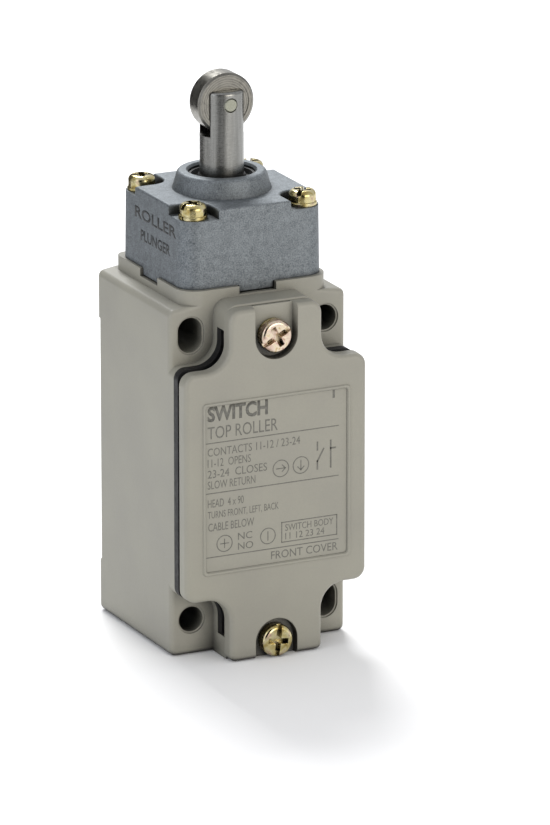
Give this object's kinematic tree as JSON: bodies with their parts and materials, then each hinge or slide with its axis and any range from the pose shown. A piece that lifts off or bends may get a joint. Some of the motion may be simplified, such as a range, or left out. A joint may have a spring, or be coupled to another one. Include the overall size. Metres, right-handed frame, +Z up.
{
  "type": "limit switch",
  "caption": "Metal limit switch with a top roller plunger on a square head, a screwed front cover, corner mounting holes and a bottom conduit entry.",
  "frame": {"origin": "centre of the conduit entry at the bottom face of the case, on the plunger's axis", "axes": "+Z up along the plunger; -Y is the front with the cover; +X to the right seen from the front"},
  "size_m": [0.0406, 0.0444, 0.1167],
  "materials": {
    "painted_case": "satin grey-beige paint on die-cast aluminium",
    "painted_cover": "satin grey-beige paint on die-cast aluminium",
    "gasket_rubber": "matt black nitrile rubber",
    "seal_rubber": "satin black nitrile rubber",
    "zinc_head": "shot-blasted zinc die-casting, fine grey speckle",
    "cover_screw_zinc": "pale zinc plate with a pink sheen",
    "screw_gold": "yellow chromated zinc plate",
    "plunger_steel": "ground stainless steel",
    "roller_steel": "turned stainless steel",
    "pin_steel": "matt stainless steel",
    "bush_bronze": "sintered bronze",
    "spring_steel": "drawn spring steel wire",
    "push_rod_plastic": "natural acetal",
    "block_thermoset": "black moulded thermoset",
    "block_cover_plastic": "smoked polycarbonate",
    "terminal_zinc": "clear zinc plate",
    "ground_green": "green chromated zinc plate",
    "contact_silver": "silver contact rivet",
    "terminal_brass": "rolled brass strip",
    "carriage_plastic": "red moulded nylon"
  },
  "bodies": {
    "housing": {"case": "painted_case", "cover": "painted_cover", "cover_gasket": "gasket_rubber", "cover_screw_top": "cover_screw_zinc", "cover_screw_bottom": "screw_gold", "cover_washers": "screw_gold", "head_block": "zinc_head", "head_screws": "screw_gold", "head_washers": "screw_gold", "head_o_ring": "seal_rubber", "wiper_seal": "seal_rubber", "plunger_bush": "bush_bronze", "switch_base": "block_thermoset", "switch_cover": "block_cover_plastic", "terminal_screws": "terminal_zinc", "terminal_clamps": "terminal_zinc", "block_screws": "terminal_zinc", "ground_screw": "ground_green", "ground_clamp": "terminal_zinc", "fixed_contacts": "contact_silver", "nc_terminal_left": "terminal_brass", "nc_terminal_right": "terminal_brass", "no_terminal_left": "terminal_brass", "no_terminal_right": "terminal_brass"},
    "plunger_set": {"plunger": "plunger_steel", "roller_pin": "pin_steel", "retaining_ring": "spring_steel", "spring_cup": "spring_steel", "return_spring": "spring_steel", "push_rod": "push_rod_plastic"},
    "roller_set": {"roller": "roller_steel"},
    "switch_plunger_set": {"switch_plunger": "carriage_plastic", "overtravel_spring": "spring_steel"},
    "carriage_set": {"contact_carriage": "carriage_plastic", "nc_bridge": "terminal_brass", "no_bridge": "terminal_brass", "moving_contacts": "contact_silver", "nc_contact_spring": "spring_steel", "no_contact_spring": "spring_steel", "carriage_spring": "spring_steel"}
  },
  "joints": [
    {"name": "plunger_slide", "type": "slide", "parent": "housing", "child": "plunger_set", "axis": [0, 0, -1], "range_m": [0, 0.006], "stiffness_N_per_m": 900, "springref_m": -0.006, "deforming": ["return_spring"]},
    {"name": "roller_spin", "type": "hinge", "parent": "plunger_set", "child": "roller_set", "pos_m": [0, 0, 0.1105], "axis": [0, 1, 0], "continuous": true},
    {"name": "switch_plunger_slide", "type": "slide", "parent": "housing", "child": "switch_plunger_set", "axis": [0, 0, -1], "range_m": [0, 0.006], "deforming": ["overtravel_spring"]},
    {"name": "carriage_slide", "type": "slide", "parent": "housing", "child": "carriage_set", "axis": [0, 0, -1], "range_m": [0, 0.002], "deforming": ["carriage_spring"]}
  ],
  "couplings": [
    {"joint": "switch_plunger_slide", "follows": "plunger_slide", "ratio": 1},
    {"joint": "carriage_slide", "follows": "plunger_slide", "ratio": 0.33333}
  ]
}
